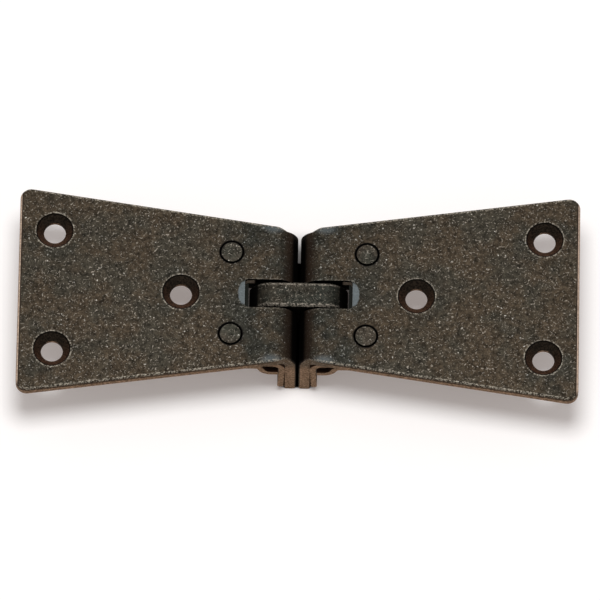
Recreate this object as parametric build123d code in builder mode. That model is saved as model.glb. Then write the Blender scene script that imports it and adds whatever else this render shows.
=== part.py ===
from build123d import *
import os
from math import cos, radians, sin, tan

# Leaf outline
overall_length = 102.0
wide_width = 40.2
narrow_width = 26.5
flange_width = 25.1
corner_radius = 2.0
waist_inset = 0.5
waist_radius = 0.8
plate_thickness = 2.0
overall_height = 14.6
bend_radius = 4.0
joint_gap = 0.5
flange_foot_radius = 0.8
plate_edge_break = 0.2

# Screw holes
hole_radius = 2.0
countersink_radius = 3.4
countersink_angle = 90.0
end_hole_inset = 6.4
end_hole_spacing = 23.3
inner_hole_reach = 21.4

# Pins
pin_radius = 1.3
pin_seat = 0.02
pin_running_clearance = 0.05
pin_recess = 0.8
pin_chamfer = 0.25

# Link
link_width = 4.7
link_top_clearance = 0.1
link_edge_break = 0.3

# Slots for the link
slot_side_clearance = 0.42
slot_end_clearance = 0.8
slot_depth_clearance = 0.5
slot_corner_radius = 0.6

# Straps
strap_thickness = 1.1
strap_width = 26.2
strap_slot_clearance = 0.15
strap_tail_reach = 16.0
strap_fold_gap = 0.1
strap_foot_lift = 2.2
strap_foot_radius = 0.45
strap_lean = 2.0
strap_wrap_angle = 68.0
strap_wrap_bend = 1.0
strap_end_gap = 0.12

# Rivets
rivet_reach = 12.3
rivet_inset = 5.05
rivet_seat = 0.02
rivet_head_radius = 2.25
rivet_head_edge = 0.35
rivet_head_angle = 90.0
rivet_shank_radius = 1.5
rivet_tail_radius = 2.3
rivet_tail_crown = 1.5
rivet_tail_height = 0.9

# Sizes that follow from the ones above
half_gap = joint_gap / 2
half_length = overall_length / 2
eye_radius = pin_radius + pin_seat
pin_drop = plate_thickness + strap_thickness + eye_radius
pin_reach = half_gap + pin_drop
pin_height = overall_height - pin_drop
pin_length = strap_width - 2 * pin_recess
link_radius = pin_drop - link_top_clearance
link_bore_radius = pin_radius + pin_running_clearance
slot_width = link_width + 2 * slot_side_clearance
slot_reach = pin_reach + link_radius + slot_end_clearance
slot_floor = pin_height - link_radius - slot_depth_clearance
waist_reach = half_gap + bend_radius - waist_inset
flange_reach = half_gap + plate_thickness
end_hole_reach = half_length - end_hole_inset
wrap_radius = eye_radius + strap_thickness / 2
strap_slot_reach = pin_reach + link_radius + strap_slot_clearance
strap_top = pin_height + wrap_radius
fold_radius = (strap_thickness + strap_fold_gap) / 2
fold_reach = strap_tail_reach - fold_radius - strap_thickness / 2
strap_low = strap_top - 2 * fold_radius
strap_under = strap_low - strap_thickness / 2
rivet_spacing = strap_width - 2 * rivet_inset
rivet_disc_radius = rivet_head_radius - rivet_head_edge
rivet_cone_depth = rivet_head_edge + rivet_disc_radius - rivet_shank_radius

os.makedirs("parts", exist_ok=True)


def leaf_planes(side):
    """Plan and profile planes with x running from the joint line out along a leaf."""
    plan = Plane(origin=(0, 0, 0), x_dir=(side, 0, 0), z_dir=(0, 0, 1))
    profile = Plane(origin=(0, 0, 0), x_dir=(side, 0, 0), z_dir=(0, -side, 0))
    return plan, profile


def about_pin(radius, angle):
    """Point of the profile at a distance and an angle from the pin's axis."""
    return (
        pin_reach + radius * cos(radians(angle)),
        pin_height + radius * sin(radians(angle)),
    )


# Plates
def build_plate(side):
    """Dovetail plate, its narrow end bent down into a flange."""
    plan, profile = leaf_planes(side)
    with BuildPart() as plate:
        with BuildSketch(profile):
            with BuildLine():
                FilletPolyline(
                    (half_length, overall_height),
                    (half_gap, overall_height),
                    (half_gap, 0),
                    radius=bend_radius,
                )
                offset(amount=plate_thickness, side=Side.LEFT)
            make_face()
        extrude(amount=wide_width / 2, both=True)
        with BuildSketch(plan) as outline:
            with BuildLine():
                half_outline = Polyline(
                    (0, 0),
                    (0, flange_width / 2),
                    (flange_reach, flange_width / 2),
                    (waist_reach, narrow_width / 2),
                    (half_length, wide_width / 2),
                    (half_length, 0),
                )
                mirror(half_outline, about=Plane.XZ)
            make_face()
            flange_corners, waist_corners = outline.vertices().group_by(Axis.X)[1:3]
            fillet(flange_corners + waist_corners, radius=waist_radius)
            fillet(outline.vertices().group_by(Axis.X)[-1], radius=corner_radius)
        extrude(amount=overall_height, mode=Mode.INTERSECT)
        top = plate.faces().sort_by(Axis.Z)[-1]
        bend = plate.faces().filter_by(GeomType.CYLINDER).sort_by(SortBy.AREA)[-1]
        flange = plate.faces().filter_by(Axis.X).sort_by(Axis.X, reverse=side < 0)[0]
        seams = (bend.edges() + flange.edges()).filter_by(Axis.Y)
        rim = (top.edges() + bend.edges() + flange.edges()).filter_by(lambda edge: edge not in seams)
        chamfer(rim, length=plate_edge_break)
        foot = plate.edges().filter_by(Axis.Y).group_by(Axis.Z)[0]
        fillet(foot.sort_by(Axis.X, reverse=side < 0)[0], radius=flange_foot_radius)
        foot = plate.edges().filter_by(Axis.Y).group_by(Axis.Z)[0]
        chamfer(foot.sort_by(Axis.X, reverse=side < 0)[-1], length=plate_edge_break)
        with BuildSketch(plan.offset(slot_floor)) as slot:
            with Locations((slot_reach / 2, 0)):
                Rectangle(slot_reach, slot_width)
            fillet(slot.vertices().group_by(Axis.X)[-1], radius=slot_corner_radius)
        extrude(amount=overall_height, mode=Mode.SUBTRACT)
        with Locations(plan.offset(overall_height)):
            with Locations(
                (end_hole_reach, end_hole_spacing / 2),
                (end_hole_reach, -end_hole_spacing / 2),
                (inner_hole_reach, 0),
            ):
                CounterSinkHole(
                    hole_radius,
                    countersink_radius,
                    depth=plate_thickness,
                    counter_sink_angle=countersink_angle,
                )
            with Locations(
                (rivet_reach, rivet_spacing / 2),
                (rivet_reach, -rivet_spacing / 2),
            ):
                CounterSinkHole(
                    rivet_shank_radius + rivet_seat,
                    rivet_head_radius,
                    depth=plate_thickness,
                    counter_sink_angle=rivet_head_angle,
                )
    return plate


# Straps
def build_strap(side):
    """Strip folded double under a plate and looped round its pin."""
    plan, profile = leaf_planes(side)
    lean = tan(radians(strap_lean))
    leg_top = about_pin(wrap_radius, 180 + strap_lean)
    leg_foot = (leg_top[0] + (leg_top[1] - strap_foot_lift) * lean, strap_foot_lift)
    over_pin = about_pin(wrap_radius, 90)
    under_pin = about_pin(wrap_radius, -90)
    wrap_start = about_pin(wrap_radius, strap_wrap_angle - 90)
    wrap_run = (strap_low - wrap_start[1]) / tan(radians(strap_wrap_angle))
    leg_inner = leg_top[0] + (leg_top[1] - under_pin[1]) * lean + strap_thickness / 2
    with BuildPart() as strap:
        with BuildSketch(profile):
            with BuildLine():
                Line(leg_foot, leg_top)
                ThreePointArc(leg_top, about_pin(wrap_radius, 135), over_pin)
                Line(over_pin, (fold_reach, strap_top))
                ThreePointArc(
                    (fold_reach, strap_top),
                    (fold_reach + fold_radius, strap_top - fold_radius),
                    (fold_reach, strap_low),
                )
                FilletPolyline(
                    (fold_reach, strap_low),
                    (wrap_start[0] + wrap_run, strap_low),
                    wrap_start,
                    radius=strap_wrap_bend,
                )
                ThreePointArc(
                    wrap_start,
                    about_pin(wrap_radius, strap_wrap_angle / 2 - 90),
                    under_pin,
                )
                Line(under_pin, (leg_inner + strap_end_gap, under_pin[1]))
            trace(line_width=strap_thickness)
        extrude(amount=strap_width / 2, both=True)
        foot = strap.faces().sort_by(Axis.Z)[0]
        fillet(foot.edges().sort_by(SortBy.LENGTH)[-2:], radius=strap_foot_radius)
        with BuildSketch(plan.offset(slot_floor)):
            with Locations((strap_slot_reach / 2, 0)):
                Rectangle(strap_slot_reach, slot_width)
        extrude(amount=overall_height, mode=Mode.SUBTRACT)
        with BuildSketch(plan):
            with Locations(
                (rivet_reach, rivet_spacing / 2),
                (rivet_reach, -rivet_spacing / 2),
            ):
                Circle(rivet_shank_radius + rivet_seat)
        extrude(amount=overall_height, mode=Mode.SUBTRACT)
    return strap


# Pins
def build_pin(side):
    """Plain pin held by both eyes of a strap."""
    plan, profile = leaf_planes(side)
    with BuildPart() as pin:
        with BuildSketch(profile):
            with Locations((pin_reach, pin_height)):
                Circle(pin_radius)
        extrude(amount=pin_length / 2, both=True)
        chamfer(pin.edges().filter_by(GeomType.CIRCLE), length=pin_chamfer)
    return pin


# Rivets
def build_rivet(side, place):
    """Flush-headed rivet, closed over under the strap."""
    foot = (side * rivet_reach, place * rivet_spacing / 2, 0)
    with BuildPart() as rivet:
        with BuildSketch(Plane(origin=foot, x_dir=(1, 0, 0), z_dir=(0, -1, 0))):
            with BuildLine():
                Polyline(
                    (0, overall_height),
                    (rivet_disc_radius, overall_height),
                    (rivet_disc_radius, overall_height - rivet_head_edge),
                    (rivet_shank_radius, overall_height - rivet_cone_depth),
                    (rivet_shank_radius, strap_under),
                    (rivet_tail_radius, strap_under),
                    (rivet_tail_crown, strap_under - rivet_tail_height),
                    (0, strap_under - rivet_tail_height),
                    close=True,
                )
            make_face()
        revolve(axis=Axis(foot, (0, 0, 1)))
    return rivet


for side, leaf in ((-1, "left"), (1, "right")):
    plate = build_plate(side)
    plate.part.label = leaf + "_plate"
    export_step(plate.part, "parts/" + leaf + "_plate.step")

    strap = build_strap(side)
    strap.part.label = leaf + "_strap"
    export_step(strap.part, "parts/" + leaf + "_strap.step")

    pin = build_pin(side)
    pin.part.label = leaf + "_pin"
    export_step(pin.part, "parts/" + leaf + "_pin.step")

    for place, end in ((-1, "front"), (1, "back")):
        rivet = build_rivet(side, place)
        rivet.part.label = leaf + "_" + end + "_rivet"
        export_step(rivet.part, "parts/" + leaf + "_" + end + "_rivet.step")


# Link
with BuildPart() as link:
    with BuildSketch(Plane.XZ):
        with Locations((0, pin_height)):
            SlotCenterToCenter(2 * pin_reach, 2 * link_radius)
    extrude(amount=link_width / 2, both=True)
    chamfer(link.faces().filter_by(Axis.Y).edges(), length=link_edge_break)
    with BuildSketch(Plane.XZ):
        with Locations((-pin_reach, pin_height), (pin_reach, pin_height)):
            Circle(link_bore_radius)
    extrude(amount=link_width / 2, both=True, mode=Mode.SUBTRACT)

link.part.label = "link"
export_step(link.part, "parts/link.step")
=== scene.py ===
import bpy
import math
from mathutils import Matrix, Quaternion, Vector

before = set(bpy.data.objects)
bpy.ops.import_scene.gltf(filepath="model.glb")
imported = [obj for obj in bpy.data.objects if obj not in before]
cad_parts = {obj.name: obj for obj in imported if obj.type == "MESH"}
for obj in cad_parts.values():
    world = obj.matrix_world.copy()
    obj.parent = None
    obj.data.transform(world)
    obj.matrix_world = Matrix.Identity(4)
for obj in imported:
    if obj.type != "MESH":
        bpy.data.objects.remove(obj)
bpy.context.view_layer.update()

MM = 0.001

# Sizes of the hinge that the finishes follow, in millimetres from the middle of the joint line.
# Both leaves are alike, so each place stands for its mirror images too.
end_hole = (44.6, 11.65, 0.0)
inner_hole = (21.4, 0.0, 0.0)
countersink_radius = 3.4
rivet_place = (12.3, 8.05, 0.0)
rivet_radius = 2.25
rivet_disc_radius = 1.9
slot_end = 9.79
slot_half_width = 2.77
slot_floor = 5.36
link_half_width = 2.35
link_top = 14.5
leaf_end = 51.0
leaf_corner = (51.0, 20.1, 0.0)
leaf_slope = 0.145
leaf_offset = 12.71
leaf_under = 12.6
bend_radius = 4.0
bend_middle_reach = 4.25
bend_middle_height = 10.6
bend_corner = (4.6, 13.2, 0.0)

# Grain of the finishes, in millimetres
patch_size = 6.0
fine_grain = 0.3
broad_grain = 0.9
swirl_size = 0.6
stroke_break = 0.4
nick_spacing = 0.7
tear_size = 0.45
drawing_line = 0.12
paper_tooth = 0.4
relief_depth = 0.03


def linear(hex_colour):
    """An sRGB hex colour as the linear colour that the shaders take."""
    channels = [int(hex_colour[i:i + 2], 16) / 255 for i in (1, 3, 5)]
    red, green, blue = (
        c / 12.92 if c <= 0.04045 else ((c + 0.055) / 1.055) ** 2.4 for c in channels
    )
    return red, green, blue, 1.0


def add(tree, kind, links=None, **settings):
    """Adds one node. An input takes a value, an output, or a node, which gives its first output."""
    made = tree.nodes.new("ShaderNode" + kind)
    for name, value in settings.items():
        setattr(made, name, value)
    for name, value in (links or {}).items():
        if isinstance(value, bpy.types.Node):
            value = value.outputs[0]
        if isinstance(value, bpy.types.NodeSocket):
            tree.links.new(value, made.inputs[name])
        else:
            made.inputs[name].default_value = value
    return made


class Surface:
    """A material in the making, with its place on the piece in millimetres and the way it faces.

    "folded", "flat", "apart" and "turned" leave out the sign, so that one mask serves both leaves
    and both sides of each.
    """

    def __init__(self, name):
        self.material = bpy.data.materials.new(name)
        self.material.use_nodes = True
        self.tree = self.material.node_tree
        self.tree.nodes.clear()
        seat = self.add("TexCoord")
        self.spot = self.add(
            "VectorMath",
            {0: seat.outputs["Object"], "Scale": 1 / MM},
            operation="SCALE",
        )
        self.folded = self.add("VectorMath", {0: self.spot}, operation="ABSOLUTE")
        self.flat = self.add("VectorMath", {0: self.folded, 1: (1, 1, 0)}, operation="MULTIPLY")
        self.place = self.add("SeparateXYZ", {0: self.spot})
        self.apart = self.add("SeparateXYZ", {0: self.folded})
        self.facing = self.add("SeparateXYZ", {0: seat.outputs["Normal"]})
        facing_folded = self.add("VectorMath", {0: seat.outputs["Normal"]}, operation="ABSOLUTE")
        self.turned = self.add("SeparateXYZ", {0: facing_folded})

    def add(self, kind, links=None, **settings):
        return add(self.tree, kind, links, **settings)


def tumbled_skin(surface, brown, green, light, wear=1.0):
    """Colour and height of steel tumbled with stones over a dark antique plating."""
    s = surface
    # patches of the plating, a few millimetres across
    cloud = s.add(
        "TexNoise",
        {"Vector": s.spot, "Scale": 1 / patch_size, "Detail": 2.0, "Roughness": 0.6},
    )
    patch = s.add(
        "MapRange",
        {"Value": cloud, "From Min": 0.38, "From Max": 0.64},
        interpolation_type="SMOOTHSTEP",
    )
    plating = s.add("MixRGB", {"Fac": patch, "Color1": linear(brown), "Color2": linear(green)})
    # grain that the stones leave: near 0.1 mm in the real one, drawn as coarse as it needs to show
    fine = s.add(
        "TexNoise",
        {"Vector": s.spot, "Scale": 1 / fine_grain, "Detail": 2.0, "Roughness": 0.6},
    )
    broad = s.add(
        "TexNoise",
        {"Vector": s.spot, "Scale": 1 / broad_grain, "Detail": 2.0, "Roughness": 0.5},
    )
    both = s.add("Math", {0: fine, 1: broad}, operation="ADD")
    shade = s.add(
        "MapRange",
        {"Value": both, "From Min": 0.7, "From Max": 1.3, "To Min": 0.32, "To Max": 1.6},
    )
    grained = s.add("VectorMath", {0: plating, "Scale": shade}, operation="SCALE")
    # burnished strokes, curved and short: the level lines of one noise, cut up by another
    swirl = s.add("TexNoise", {"Vector": s.spot, "Scale": 1 / swirl_size, "Detail": 0.0})
    level = s.add("Math", {0: swirl, 1: 0.5}, operation="SUBTRACT")
    off_level = s.add("Math", {0: level}, operation="ABSOLUTE")
    stroke = s.add(
        "MapRange",
        {"Value": off_level, "From Min": 0.055, "From Max": 0.015, "To Max": wear},
    )
    shifted = s.add("VectorMath", {0: s.spot, 1: (31.0, 17.0, 5.0)}, operation="ADD")
    break_up = s.add("TexNoise", {"Vector": shifted, "Scale": 1 / stroke_break, "Detail": 1.0})
    cut = s.add("MapRange", {"Value": break_up, "From Min": 0.5, "From Max": 0.62})
    strokes = s.add("Math", {0: stroke, 1: cut}, operation="MULTIPLY")
    burnished = s.add("MixRGB", {"Fac": strokes, "Color1": grained, "Color2": linear(light)})
    # bright nicks with ragged outlines, in about one cell of six
    ragged = s.add(
        "VectorMath",
        {0: fine.outputs["Color"], 1: (0.5, 0.5, 0.5), 2: s.spot},
        operation="MULTIPLY_ADD",
    )
    cell = s.add("TexVoronoi", {"Vector": ragged, "Scale": 1 / nick_spacing})
    nick = s.add(
        "MapRange",
        {"Value": cell.outputs["Distance"], "From Min": 0.24, "From Max": 0.08, "To Max": wear},
    )
    pick = s.add("SeparateXYZ", {0: cell.outputs["Color"]})
    chosen = s.add("MapRange", {"Value": pick, "From Min": 0.84, "From Max": 1.0})
    nicks = s.add("Math", {0: nick, 1: chosen}, operation="MULTIPLY")
    colour = s.add("MixRGB", {"Fac": nicks, "Color1": burnished, "Color2": linear("#d2ccc2")})
    height = s.add("Math", {0: both, 1: 0.6, 2: strokes}, operation="MULTIPLY_ADD")
    return colour, height, cloud, fine


def sheared_skin(surface):
    """Colour of the edges that the press sheared: torn brown metal with darker pits."""
    s = surface
    tear = s.add("VectorMath", {0: s.spot, 1: (1.0, 1.0, 1.6)}, operation="MULTIPLY")
    torn = s.add(
        "TexNoise",
        {"Vector": tear, "Scale": 1 / tear_size, "Detail": 3.0, "Roughness": 0.7},
    )
    tone = s.add("ValToRGB", {"Fac": torn})
    tone.color_ramp.elements[0].position = 0.38
    tone.color_ramp.elements[0].color = linear("#4a3729")
    tone.color_ramp.elements[1].position = 0.64
    tone.color_ramp.elements[1].color = linear("#a1866f")
    middle = tone.color_ramp.elements.new(0.5)
    middle.color = linear("#7b634e")
    return tone


def finish_steel(surface, colour, height, roughness, bump=0.5):
    """Closes a steel surface: metal under a plating that is part oxide, so not wholly metallic."""
    s = surface
    relief = s.add("Bump", {"Height": height, "Strength": bump, "Distance": relief_depth * MM})
    steel = s.add(
        "BsdfPrincipled",
        {
            "Base Color": colour,
            "Metallic": 0.8,
            "Roughness": roughness,
            "Specular Tint": linear("#bcb5ae"),
            "Normal": relief,
        },
    )
    s.add("OutputMaterial", {"Surface": steel})
    return s.material


def plate_finish():
    """Pressed steel sheet, plated dark and tumbled: brown-grey faces full of small light marks."""
    s = Surface("tumbled_antique_steel_sheet")
    colour, height, cloud, fine = tumbled_skin(s, "#40372c", "#39352d", "#877f74")

    # the cast turns grey-green near the joint, round the screw holes and in the leaf's corners
    to_end = s.add("VectorMath", {0: s.flat, 1: end_hole}, operation="DISTANCE")
    to_inner = s.add("VectorMath", {0: s.flat, 1: inner_hole}, operation="DISTANCE")
    to_hole = s.add(
        "Math",
        {0: to_end.outputs["Value"], 1: to_inner.outputs["Value"]},
        operation="MINIMUM",
    )
    to_leaf_corner = s.add("VectorMath", {0: s.flat, 1: leaf_corner}, operation="DISTANCE")
    joint_cast, joint_cast_full = 18.0, 9.0
    hole_cast, hole_cast_full = 6.5, 3.8
    corner_cast, corner_cast_full = 8.0, 1.0
    near_joint = s.add(
        "MapRange",
        {"Value": s.apart.outputs["X"], "From Min": joint_cast, "From Max": joint_cast_full},
        interpolation_type="SMOOTHSTEP",
    )
    near_hole = s.add(
        "MapRange",
        {"Value": to_hole, "From Min": hole_cast, "From Max": hole_cast_full, "To Max": 0.6},
        interpolation_type="SMOOTHSTEP",
    )
    near_corner = s.add(
        "MapRange",
        {
            "Value": to_leaf_corner.outputs["Value"],
            "From Min": corner_cast,
            "From Max": corner_cast_full,
            "To Max": 0.8,
        },
        interpolation_type="SMOOTHSTEP",
    )
    where = near_joint
    for part in (near_hole, near_corner):
        where = s.add("Math", {0: where, 1: part}, operation="MAXIMUM")
    cast = s.add("MapRange", {"Value": cloud, "From Min": 0.35, "From Max": 0.6, "To Min": 0.2})
    cast_here = s.add("Math", {0: where, 1: cast}, operation="MULTIPLY")
    cooled = s.add(
        "MixRGB",
        {"Fac": cast_here, "Color1": colour, "Color2": linear("#ced8df")},
        blend_type="MULTIPLY",
    )

    # pale blue-grey wear outside the slot's ends and on the corners of the bend
    ragged = s.add(
        "VectorMath",
        {0: fine.outputs["Color"], 1: (0.5, 0.9, 0.0), 2: s.flat},
        operation="MULTIPLY_ADD",
    )
    crescent_length, crescent_half_width = 1.2, 2.3
    past_slot = s.add(
        "VectorMath",
        {0: ragged, 1: (slot_end + 0.25, 0.45, 0.0)},
        operation="SUBTRACT",
    )
    stretched = s.add(
        "VectorMath",
        {0: past_slot, 1: (1 / crescent_length, 1 / crescent_half_width, 0.0)},
        operation="MULTIPLY",
    )
    from_slot = s.add("VectorMath", {0: stretched}, operation="LENGTH")
    crescent = s.add(
        "MapRange",
        {"Value": from_slot.outputs["Value"], "From Min": 1.08, "From Max": 0.92},
        interpolation_type="SMOOTHSTEP",
    )
    corner_wear_length, corner_wear_width = 2.8, 1.7
    to_corner = s.add("VectorMath", {0: s.flat, 1: bend_corner}, operation="SUBTRACT")
    corner_shape = s.add(
        "VectorMath",
        {0: to_corner, 1: (1 / corner_wear_length, 1 / corner_wear_width, 0.0)},
        operation="MULTIPLY",
    )
    from_corner = s.add("VectorMath", {0: corner_shape}, operation="LENGTH")
    corner = s.add(
        "MapRange",
        {"Value": from_corner.outputs["Value"], "From Min": 1.0, "From Max": 0.2, "To Max": 0.6},
        interpolation_type="SMOOTHSTEP",
    )
    pale = s.add("Math", {0: crescent, 1: corner}, operation="MAXIMUM")
    pale_mottle = s.add("MapRange", {"Value": fine, "To Min": 0.6, "To Max": 1.4})
    pale_tone = s.add(
        "VectorMath",
        {0: linear("#5d6365")[:3], "Scale": pale_mottle},
        operation="SCALE",
    )
    faded = s.add("MixRGB", {"Fac": pale, "Color1": cooled, "Color2": pale_tone})

    # which faces are edges: 1 on the sheared sides, between on the broken rims
    up_squared = s.add(
        "Math",
        {0: s.turned.outputs["Z"], 1: s.turned.outputs["Z"]},
        operation="MULTIPLY",
    )
    level_squared = s.add("Math", {0: 1.0, 1: up_squared}, operation="SUBTRACT")
    level_part = s.add("Math", {0: level_squared}, operation="SQRT")
    rounded_end = 2.3
    at_end = s.add(
        "Math",
        {0: s.apart.outputs["X"], 1: leaf_end - rounded_end},
        operation="GREATER_THAN",
    )
    end_side = s.add("Math", {0: level_part, 1: at_end}, operation="MULTIPLY")
    side = s.add("Math", {0: s.turned.outputs["Y"], 1: end_side}, operation="MAXIMUM")

    # a burnished, speckled line along the outline and round the slot and the screw holes
    line_width, line_full = 0.35, 0.1
    outline = s.add(
        "Math",
        {0: s.apart.outputs["X"], 1: -leaf_slope, 2: s.apart.outputs["Y"]},
        operation="MULTIPLY_ADD",
    )
    near_outline = s.add(
        "MapRange",
        {"Value": outline, "From Min": leaf_offset - 0.5, "From Max": leaf_offset - 0.25},
    )
    beside_slot = s.add(
        "MapRange",
        {
            "Value": s.apart.outputs["Y"],
            "From Min": slot_half_width + line_width,
            "From Max": slot_half_width + line_full,
            "To Max": 0.25,
        },
    )
    before_end = s.add("Math", {0: s.apart.outputs["X"], 1: slot_end + 0.03}, operation="LESS_THAN")
    above_floor = s.add("Math", {0: s.apart.outputs["Z"], 1: slot_floor}, operation="GREATER_THAN")
    at_slot = s.add("Math", {0: before_end, 1: above_floor}, operation="MULTIPLY")
    slot_lip = s.add("Math", {0: beside_slot, 1: at_slot}, operation="MULTIPLY")
    hole_lip = s.add(
        "MapRange",
        {
            "Value": to_hole,
            "From Min": countersink_radius + line_width,
            "From Max": countersink_radius + 0.12,
            "To Max": 0.8,
        },
    )
    broken_rim = s.add("MapRange", {"Value": side, "From Min": 0.25, "From Max": 0.5})
    upward = s.add("Math", {0: s.facing.outputs["Z"], 1: -0.5}, operation="GREATER_THAN")
    rim = near_outline
    for part in (slot_lip, hole_lip):
        rim = s.add("Math", {0: rim, 1: part}, operation="MAXIMUM")
    rim = s.add("Math", {0: rim, 1: upward}, operation="MULTIPLY")
    rim = s.add("Math", {0: rim, 1: broken_rim}, operation="MAXIMUM")
    rim_tone = s.add("MapRange", {"Value": fine, "From Min": 0.44, "From Max": 0.62})
    rim_wear = s.add("Math", {0: rim, 1: rim_tone}, operation="MULTIPLY")
    rimmed = s.add("MixRGB", {"Fac": rim_wear, "Color1": faded, "Color2": linear("#a29a8c")})

    # a dark line runs inside the leaf's end, and the very end is bare brown
    dark_start, dark_full = leaf_end - 0.62, leaf_end - 0.5
    bare_start, bare_full = leaf_end - 0.38, leaf_end - 0.28
    near_end = s.add(
        "MapRange",
        {"Value": s.apart.outputs["X"], "From Min": dark_start, "From Max": dark_full},
    )
    line_up = s.add("Math", {0: near_end, 1: upward}, operation="MULTIPLY")
    end_line = s.add("MixRGB", {"Fac": line_up, "Color1": rimmed, "Color2": linear("#2c231c")})
    very_end = s.add(
        "MapRange",
        {"Value": s.apart.outputs["X"], "From Min": bare_start, "From Max": bare_full},
    )
    bare_up = s.add("Math", {0: very_end, 1: upward}, operation="MULTIPLY")
    bare_mottle = s.add(
        "MapRange",
        {"Value": fine, "From Min": 0.3, "From Max": 0.7, "To Min": 0.7, "To Max": 1.3},
    )
    bare_tone = s.add(
        "VectorMath",
        {0: linear("#ae9988")[:3], "Scale": bare_mottle},
        operation="SCALE",
    )
    ended = s.add("MixRGB", {"Fac": bare_up, "Color1": end_line, "Color2": bare_tone})

    # painted shade turns the bend dark brown and then black toward the joint, in the valley between
    # the leaves
    brown_start, black_start, black_full = 3.3, 1.6, 0.9
    flange_top, bend_top = 7.5, 10.0
    bend_painted_shade = s.add(
        "MapRange",
        {
            "Value": s.apart.outputs["X"],
            "From Min": brown_start,
            "From Max": black_start,
            "To Max": 0.75,
        },
        interpolation_type="SMOOTHSTEP",
    )
    bend_with_painted_shade = s.add("MixRGB", {"Fac": bend_painted_shade, "Color1": ended, "Color2": linear("#33261e")})
    valley = s.add(
        "MapRange",
        {"Value": s.apart.outputs["X"], "From Min": black_start, "From Max": black_full},
        interpolation_type="SMOOTHSTEP",
    )
    on_bend = s.add(
        "MapRange",
        {
            "Value": s.apart.outputs["Z"],
            "From Min": flange_top,
            "From Max": bend_top,
            "To Min": 0.3,
            "To Max": 0.97,
        },
        interpolation_type="SMOOTHSTEP",
    )
    valley_painted_shade = s.add("Math", {0: valley, 1: on_bend}, operation="MULTIPLY")
    shaded = s.add("MixRGB", {"Fac": valley_painted_shade, "Color1": bend_with_painted_shade, "Color2": linear("#050404")})

    # countersinks keep the brown-black plating, with painted shade on the half of each cone that
    # faces the front, painted light on the half that faces back, and a painted shadow under the lip
    inside = s.add(
        "MapRange",
        {
            "Value": to_hole,
            "From Min": countersink_radius + 0.06,
            "From Max": countersink_radius - 0.04,
        },
    )
    sunk = s.add("Math", {0: inside, 1: upward}, operation="MULTIPLY")
    painted_side_light = s.add(
        "MapRange",
        {"Value": s.facing.outputs["Y"], "From Min": -0.5, "From Max": 0.7},
    )
    oxide_mottle = s.add(
        "MapRange",
        {"Value": fine, "From Min": 0.35, "From Max": 0.65, "To Min": 0.35, "To Max": 1.6},
    )
    oxide_with_side_light = s.add(
        "MixRGB",
        {"Fac": painted_side_light, "Color1": linear("#2c251e"), "Color2": linear("#543b2d")},
    )
    oxide = s.add("VectorMath", {0: oxide_with_side_light, "Scale": oxide_mottle}, operation="SCALE")
    painted_lip_shadow = s.add(
        "MapRange",
        {
            "Value": to_hole,
            "From Min": countersink_radius - 0.3,
            "From Max": countersink_radius - 0.12,
        },
    )
    lip_shadowed = s.add("MixRGB", {"Fac": painted_lip_shadow, "Color1": oxide, "Color2": linear("#0b0806")})
    sunken = s.add("MixRGB", {"Fac": sunk, "Color1": shaded, "Color2": lip_shadowed})

    # black groove round the rivets
    groove_width = 0.16
    to_rivet = s.add("VectorMath", {0: s.flat, 1: rivet_place}, operation="DISTANCE")
    groove = s.add(
        "MapRange",
        {
            "Value": to_rivet.outputs["Value"],
            "From Min": rivet_radius + groove_width,
            "From Max": rivet_radius,
        },
    )
    groove_up = s.add("Math", {0: groove, 1: upward}, operation="MULTIPLY")
    grooved = s.add("MixRGB", {"Fac": groove_up, "Color1": sunken, "Color2": linear("#030303")})

    # sheared sides, with the dark line that the press leaves under the rim
    sheared = s.add("MapRange", {"Value": side, "From Min": 0.8, "From Max": 0.92})
    foot_top, foot_full = 0.85, 0.6
    foot = s.add(
        "MapRange",
        {"Value": s.apart.outputs["Z"], "From Min": foot_top, "From Max": foot_full},
    )
    cut_edge = s.add("Math", {0: sheared, 1: foot}, operation="MAXIMUM")
    inward = s.add("Math", {0: bend_middle_reach, 1: s.apart.outputs["X"]}, operation="SUBTRACT")
    inward_part = s.add("Math", {0: inward, 1: 0.0}, operation="MAXIMUM")
    upper = s.add("Math", {0: s.apart.outputs["Z"], 1: bend_middle_height}, operation="SUBTRACT")
    upper_part = s.add("Math", {0: upper, 1: 0.0}, operation="MAXIMUM")
    reach = s.add("CombineXYZ", {0: inward_part, 1: upper_part})
    from_middle = s.add("VectorMath", {0: reach}, operation="LENGTH")
    press_line, press_line_full = bend_radius - 1.0, bend_radius - 0.75
    line_top = s.add(
        "MapRange",
        {
            "Value": from_middle.outputs["Value"],
            "From Min": press_line,
            "From Max": press_line_full,
        },
    )
    torn_line = s.add(
        "MapRange",
        {"Value": fine, "From Min": 0.4, "From Max": 0.55, "To Min": 1.0, "To Max": 0.6},
    )
    on_flat = s.add("MapRange", {"Value": s.apart.outputs["X"], "From Min": 3.0, "From Max": 7.0})
    line_here = s.add("Math", {0: line_top, 1: on_flat}, operation="MULTIPLY")
    line = s.add("Math", {0: line_here, 1: torn_line}, operation="MULTIPLY")
    # over the bend the tumbled skin wraps round onto the side
    over_bend = s.add(
        "MapRange",
        {"Value": s.apart.outputs["Z"], "From Min": 8.5, "From Max": 11.5, "To Max": 0.7},
        interpolation_type="SMOOTHSTEP",
    )
    bend_here = s.add("MapRange", {"Value": s.apart.outputs["X"], "From Min": 9.0, "From Max": 5.0})
    wrapped = s.add("Math", {0: over_bend, 1: bend_here}, operation="MULTIPLY")
    sheared_tone = s.add("MixRGB", {"Fac": wrapped, "Color1": sheared_skin(s), "Color2": colour})
    lined = s.add("MixRGB", {"Fac": line, "Color1": sheared_tone, "Color2": linear("#150d08")})
    edged = s.add("MixRGB", {"Fac": cut_edge, "Color1": grooved, "Color2": lined})
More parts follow.
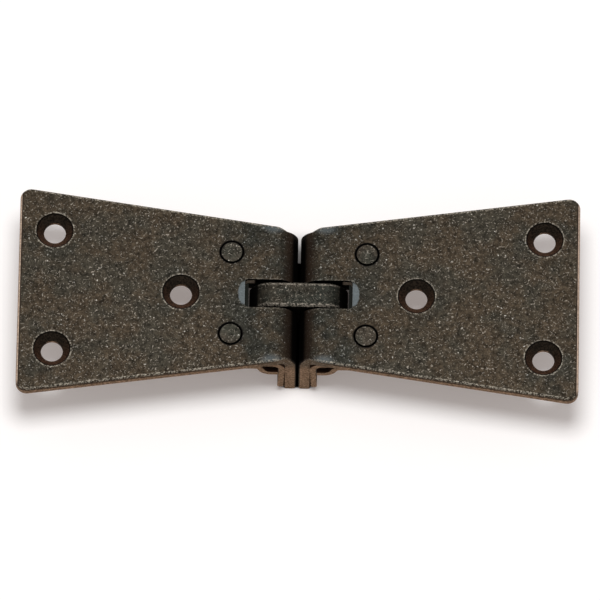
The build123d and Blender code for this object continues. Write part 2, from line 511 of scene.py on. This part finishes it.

    # painted shade makes the walls in the slot black, but for a pale strip of painted light in each
    # corner
    strip_length = 1.9
    in_slot = s.add(
        "Math",
        {0: s.apart.outputs["Y"], 1: slot_half_width + 0.05},
        operation="LESS_THAN",
    )
    steep = s.add("Math", {0: s.turned.outputs["Z"], 1: 0.5}, operation="LESS_THAN")
    slot_here = s.add("Math", {0: in_slot, 1: at_slot}, operation="MULTIPLY")
    wall_here = s.add("Math", {0: slot_here, 1: steep}, operation="MULTIPLY")
    end_wall = s.add("Math", {0: s.apart.outputs["X"], 1: slot_end - 1.0}, operation="GREATER_THAN")
    side_wall = s.add("Math", {0: s.turned.outputs["Y"], 1: 0.5}, operation="GREATER_THAN")
    wall = s.add("Math", {0: end_wall, 1: side_wall}, operation="MAXIMUM")
    slot_wall = s.add("Math", {0: wall_here, 1: wall}, operation="MULTIPLY")
    wall_end = s.add(
        "MapRange",
        {
            "Value": s.apart.outputs["X"],
            "From Min": slot_end - strip_length,
            "From Max": slot_end - strip_length + 0.3,
        },
    )
    wall_low = s.add(
        "MapRange",
        {
            "Value": s.apart.outputs["Z"],
            "From Min": leaf_under + 1.5,
            "From Max": leaf_under + 1.25,
        },
    )
    wall_strip = s.add("Math", {0: wall_end, 1: wall_low}, operation="MULTIPLY")
    painted_light_strip = s.add("Math", {0: wall_strip, 1: s.turned.outputs["Y"]}, operation="MULTIPLY")
    painted_wall_shade_and_light = s.add(
        "MixRGB",
        {"Fac": painted_light_strip, "Color1": linear("#040303"), "Color2": linear("#dcc8b4")},
    )
    walled = s.add("MixRGB", {"Fac": slot_wall, "Color1": edged, "Color2": painted_wall_shade_and_light})
    roughness = s.add(
        "MapRange",
        {"Value": height, "From Min": 0.3, "From Max": 1.6, "To Min": 0.62, "To Max": 0.42},
    )
    return finish_steel(s, walled, height, roughness)


def rivet_finish():
    """Rivet steel, plated and tumbled with the leaf: a disc like the sheet, with black sides."""
    s = Surface("tumbled_antique_rivet_steel")
    colour, height = tumbled_skin(s, "#3e3830", "#383730", "#847d72")[:2]
    to_rivet = s.add("VectorMath", {0: s.flat, 1: rivet_place}, operation="DISTANCE")
    side_line = 0.08
    side = s.add(
        "MapRange",
        {
            "Value": to_rivet.outputs["Value"],
            "From Min": rivet_disc_radius - side_line,
            "From Max": rivet_disc_radius,
        },
    )
    above = s.add("Math", {0: s.apart.outputs["Z"], 1: leaf_under}, operation="GREATER_THAN")
    groove = s.add("Math", {0: side, 1: above}, operation="MULTIPLY")
    blackened = s.add("MixRGB", {"Fac": groove, "Color1": colour, "Color2": linear("#030303")})
    roughness = s.add(
        "MapRange",
        {"Value": height, "From Min": 0.3, "From Max": 1.6, "To Min": 0.62, "To Max": 0.42},
    )
    return finish_steel(s, blackened, height, roughness)


def link_finish():
    """Steel bar, plated and tumbled: green-grey top with bright worn edges, and painted shade that
    makes it black in the slot.
    """
    s = Surface("tumbled_antique_steel_bar")
    colour, height, _, fine = tumbled_skin(s, "#322e27", "#2d2e29", "#7f786d", wear=0.8)
    worn_start, worn_full = link_half_width - 0.75, link_half_width - 0.25
    dip_start, dip_full = link_top - 0.85, link_top - 1.1
    near_edge = s.add(
        "MapRange",
        {"Value": s.apart.outputs["Y"], "From Min": worn_start, "From Max": worn_full},
        interpolation_type="SMOOTHSTEP",
    )
    speckle = s.add("MapRange", {"Value": fine, "From Min": 0.42, "From Max": 0.62})
    broken_edge = s.add(
        "MapRange",
        {"Value": s.turned.outputs["Y"], "From Min": 0.3, "From Max": 0.55},
    )
    edge_here = s.add("Math", {0: near_edge, 1: broken_edge}, operation="MAXIMUM")
    worn = s.add("Math", {0: edge_here, 1: speckle}, operation="MULTIPLY")
    edged = s.add("MixRGB", {"Fac": worn, "Color1": colour, "Color2": linear("#988f83")})
    # painted shade: the link turns black below its top and on its long sides, down in the slot
    dip = s.add(
        "MapRange",
        {"Value": s.apart.outputs["Z"], "From Min": dip_start, "From Max": dip_full},
    )
    flank = s.add("MapRange", {"Value": s.turned.outputs["Y"], "From Min": 0.75, "From Max": 0.95})
    painted_slot_shade = s.add("Math", {0: dip, 1: flank}, operation="MAXIMUM")
    slot_shade_strength = s.add("Math", {0: painted_slot_shade, 1: 0.94}, operation="MULTIPLY")
    blackened = s.add("MixRGB", {"Fac": slot_shade_strength, "Color1": edged, "Color2": linear("#040404")})
    roughness = s.add(
        "MapRange",
        {"Value": height, "From Min": 0.3, "From Max": 1.6, "To Min": 0.6, "To Max": 0.4},
    )
    return finish_steel(s, blackened, height, roughness)


def strap_finish():
    """Thin steel strip, plated after folding: dull and dark, brown where the press sheared it."""
    s = Surface("antique_plated_steel_strip")
    colour, height = tumbled_skin(s, "#3c332b", "#302e29", "#6e6558", wear=0.5)[:2]
    # inside the fold, where the stones never reach
    faces_up = s.add("MapRange", {"Value": s.facing.outputs["Z"], "From Min": 0.2, "From Max": 0.4})
    below_top = s.add("Math", {0: s.apart.outputs["Z"], 1: leaf_under - 0.4}, operation="LESS_THAN")
    inside = s.add("Math", {0: faces_up, 1: below_top}, operation="MULTIPLY")
    hollow = s.add("MixRGB", {"Fac": inside, "Color1": colour, "Color2": linear("#3a261c")})
    sheared = s.add("MapRange", {"Value": s.turned.outputs["Y"], "From Min": 0.8, "From Max": 0.92})
    slot_side = slot_half_width + 0.1
    outside = s.add("Math", {0: s.apart.outputs["Y"], 1: slot_side}, operation="GREATER_THAN")
    torn = s.add("Math", {0: sheared, 1: outside}, operation="MULTIPLY")
    edged = s.add("MixRGB", {"Fac": torn, "Color1": hollow, "Color2": sheared_skin(s)})
    # painted shade, black round the slot, up to the ledge that shows past the link's ends
    ledge_start, ledge_full = leaf_under - 2.5, leaf_under - 1.0
    in_slot = s.add("Math", {0: s.apart.outputs["Y"], 1: slot_side}, operation="LESS_THAN")
    at_ledge = s.add(
        "MapRange",
        {"Value": s.apart.outputs["Z"], "From Min": ledge_start, "From Max": ledge_full},
    )
    ledge = s.add("Math", {0: in_slot, 1: at_ledge}, operation="MULTIPLY")
    slot_painted_shade = s.add("MixRGB", {"Fac": ledge, "Color1": edged, "Color2": linear("#1b1d1b")})
    roughness = s.add(
        "MapRange",
        {"Value": height, "From Min": 0.3, "From Max": 1.6, "To Min": 0.66, "To Max": 0.5},
    )
    return finish_steel(s, slot_painted_shade, height, roughness)


def pin_finish():
    """Drawn steel rod, plated dark: smoother than the sheet, with faint drawing lines along it."""
    s = Surface("antique_plated_drawn_rod")
    # drawing lines, near 0.02 mm in the real one and drawn as coarse as they need to show
    drawn = s.add("VectorMath", {0: s.spot, 1: (1.0, 0.06, 1.0)}, operation="MULTIPLY")
    lines = s.add("TexNoise", {"Vector": drawn, "Scale": 1 / drawing_line, "Detail": 2.0})
    tone = s.add("ValToRGB", {"Fac": lines})
    tone.color_ramp.elements[0].position = 0.35
    tone.color_ramp.elements[0].color = linear("#1d1713")
    tone.color_ramp.elements[1].position = 0.7
    tone.color_ramp.elements[1].color = linear("#4a3d33")
    roughness = s.add("MapRange", {"Value": lines, "To Min": 0.55, "To Max": 0.4})
    return finish_steel(s, tone, lines, roughness, bump=0.3)


finishes = {
    "plate": plate_finish(),
    "rivet": rivet_finish(),
    "link": link_finish(),
    "strap": strap_finish(),
    "pin": pin_finish(),
}
for name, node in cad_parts.items():
    piece = name.split("_")[-1]
    for slot in node.material_slots:
        slot.link = "OBJECT"
        slot.material = finishes[piece]


def table_finish():
    """Matt white board. Camera and mirrors see it a little raised, so it reads as white paper."""
    s = Surface("matt_white_board")
    path = s.add("LightPath")
    seen_or_mirrored = s.add(
        "Math",
        {0: path.outputs["Is Camera Ray"], 1: path.outputs["Is Glossy Ray"]},
        operation="MAXIMUM",
    )
    seen = s.add(
        "Math",
        {0: seen_or_mirrored, 1: path.outputs["Is Transmission Ray"]},
        operation="MAXIMUM",
    )
    # a fine tooth on the board, too faint to show except close up
    tooth = s.add("TexNoise", {"Vector": s.spot, "Scale": 1 / paper_tooth, "Detail": 2.0})
    paper = s.add("MapRange", {"Value": tooth, "To Min": 0.98, "To Max": 1.02})
    tint = s.add("VectorMath", {0: linear("#ededed")[:3], "Scale": paper}, operation="SCALE")

    # under the joint the board fades into painted shade, as far as it is covered
    open_sky = s.add("AmbientOcclusion", {"Distance": 20 * MM})
    joint_edge, joint_full = 15.0, 9.0
    front_edge, front_full = -8.5, -4.0
    side_edge, side_full = 13.5, 7.0
    under_x = s.add(
        "MapRange",
        {"Value": s.apart.outputs["X"], "From Min": joint_edge, "From Max": joint_full},
    )
    under_front = s.add(
        "MapRange",
        {"Value": s.place.outputs["Y"], "From Min": front_edge, "From Max": front_full},
    )
    under_y = s.add(
        "MapRange",
        {"Value": s.apart.outputs["Y"], "From Min": side_edge, "From Max": side_full},
        interpolation_type="SMOOTHSTEP",
    )
    under_wide = s.add("Math", {0: under_x, 1: under_front}, operation="MULTIPLY")
    under = s.add("Math", {0: under_wide, 1: under_y}, operation="MULTIPLY")
    covered = s.add(
        "MapRange",
        {"Value": open_sky.outputs["AO"], "From Min": 0.7, "From Max": 0.22, "To Max": 0.92},
        interpolation_type="SMOOTHSTEP",
    )
    dark_under = s.add("Math", {0: under, 1: covered}, operation="MULTIPLY")

    # painted shade makes it black in the slits between the flanges and the straps' legs
    legs_edge, legs_full = 3.6, 3.2
    flange_edge, flange_full = 13.2, 12.2
    between_x = s.add(
        "MapRange",
        {"Value": s.apart.outputs["X"], "From Min": legs_edge, "From Max": legs_full},
    )
    between_y = s.add(
        "MapRange",
        {"Value": s.apart.outputs["Y"], "From Min": flange_edge, "From Max": flange_full},
    )
    between = s.add("Math", {0: between_x, 1: between_y}, operation="MULTIPLY")
    closed_in = s.add(
        "MapRange",
        {"Value": open_sky.outputs["AO"], "From Min": 0.52, "From Max": 0.36},
    )
    dark_between = s.add("Math", {0: between, 1: closed_in}, operation="MULTIPLY")

    # and a soft painted shade lies behind the joint, at the flanges' back ends
    shade_side, shade_middle = 12.0, 1.0
    shade_back, shade_full = 19.5, 14.0
    back_x = s.add(
        "MapRange",
        {"Value": s.apart.outputs["X"], "From Min": shade_side, "From Max": shade_middle},
        interpolation_type="SMOOTHSTEP",
    )
    back_y = s.add(
        "MapRange",
        {"Value": s.place.outputs["Y"], "From Min": shade_back, "From Max": shade_full},
        interpolation_type="SMOOTHSTEP",
    )
    at_back = s.add("Math", {0: back_x, 1: back_y}, operation="MULTIPLY")
    shade = s.add(
        "MapRange",
        {"Value": open_sky.outputs["AO"], "From Min": 0.98, "From Max": 0.7, "To Max": 0.85},
    )
    back_shade = s.add("Math", {0: at_back, 1: shade}, operation="MULTIPLY")
    back_half = s.add("Math", {0: s.place.outputs["Y"], 1: 0.0}, operation="GREATER_THAN")
    dark_back = s.add("Math", {0: back_shade, 1: back_half}, operation="MULTIPLY")

    dark = dark_under
    for part in (dark_between, dark_back):
        dark = s.add("Math", {0: dark, 1: part}, operation="MAXIMUM")
    light_left = s.add("Math", {0: 1.0, 1: dark}, operation="SUBTRACT")
    shaded = s.add("VectorMath", {0: tint, "Scale": light_left}, operation="SCALE")
    matt = s.add("BsdfDiffuse", {"Color": shaded})
    raised_by = s.add("Math", {0: light_left, 1: 0.225}, operation="MULTIPLY")
    lift = s.add("Math", {0: seen, 1: raised_by}, operation="MULTIPLY")
    raised = s.add("Emission", {"Color": linear("#ffece4"), "Strength": lift})
    near = s.add("AddShader", {0: matt, 1: raised})

    # far from the hinge the board is plain white to the horizon
    fade_start, fade_end = 120.0, 300.0
    away = s.add("VectorMath", {0: s.spot}, operation="LENGTH")
    far = s.add(
        "MapRange",
        {"Value": away.outputs["Value"], "From Min": fade_start, "From Max": fade_end},
    )
    far_seen = s.add("Math", {0: far, 1: seen}, operation="MULTIPLY")
    white = s.add("Emission", {"Color": linear("#ffffff"), "Strength": 1.0})
    board = s.add("MixShader", {0: far_seen, 1: near, 2: white})
    s.add("OutputMaterial", {"Surface": board})
    return s.material


# Table
table_size = 6.0
bpy.ops.mesh.primitive_plane_add(size=table_size, location=(0, 0, 0))
table = bpy.context.object
table.name = "table_top"
table.data.materials.append(table_finish())

# Light: a round softbox overhead in a plain room, white at the horizon
world = bpy.data.worlds.new("white_room")
world.use_nodes = True
sky = world.node_tree
background = sky.nodes["Background"]
toward = add(sky, "TexCoord")
heights = add(sky, "SeparateXYZ", {0: toward.outputs["Generated"]})
horizon, wall_top = 0.04, 0.2
room = add(sky, "ValToRGB", {"Fac": heights.outputs["Z"]})
room.color_ramp.elements[0].position = horizon
room.color_ramp.elements[0].color = linear("#ffffff")
room.color_ramp.elements[1].position = 1.0
room.color_ramp.elements[1].color = linear("#aeaeae")
wall = room.color_ramp.elements.new(wall_top)
wall.color = linear("#8b8b8b")
sky.links.new(room.outputs["Color"], background.inputs["Color"])
bpy.context.scene.world = world

softbox_width = 0.3
softbox_watts = 4.3
softbox_place = (0.0, -0.02, 0.8)
softbox = bpy.data.lights.new("overhead_softbox", "AREA")
softbox.shape = "DISK"
softbox.size = softbox_width
softbox.energy = softbox_watts
softbox_holder = bpy.data.objects.new("overhead_softbox", softbox)
softbox_holder.location = softbox_place
bpy.context.scene.collection.objects.link(softbox_holder)

# Camera at the photograph's angle
camera_elevation = 67.0
camera_roll = -1.1
camera_distance = 2.5
pixels_per_mm = 5.49
picture_size = 600
sensor_width = 36.0
aim = Vector((0.25, 1.6, 8.0)) * MM

camera = bpy.data.cameras.new("photograph")
camera.sensor_width = sensor_width
camera.lens = sensor_width * pixels_per_mm * camera_distance / MM / picture_size
camera_holder = bpy.data.objects.new("photograph", camera)
bpy.context.scene.collection.objects.link(camera_holder)
rise = math.radians(camera_elevation)
back = Vector((0, -math.cos(rise), math.sin(rise)))
camera_holder.location = aim + back * camera_distance
camera_holder.rotation_mode = "QUATERNION"
level_view = (-back).to_track_quat("-Z", "Y")
roll = Quaternion((0, 0, 1), math.radians(-camera_roll))
camera_holder.rotation_quaternion = level_view @ roll
bpy.context.scene.camera = camera_holder

bpy.context.scene.view_settings.view_transform = "Standard"
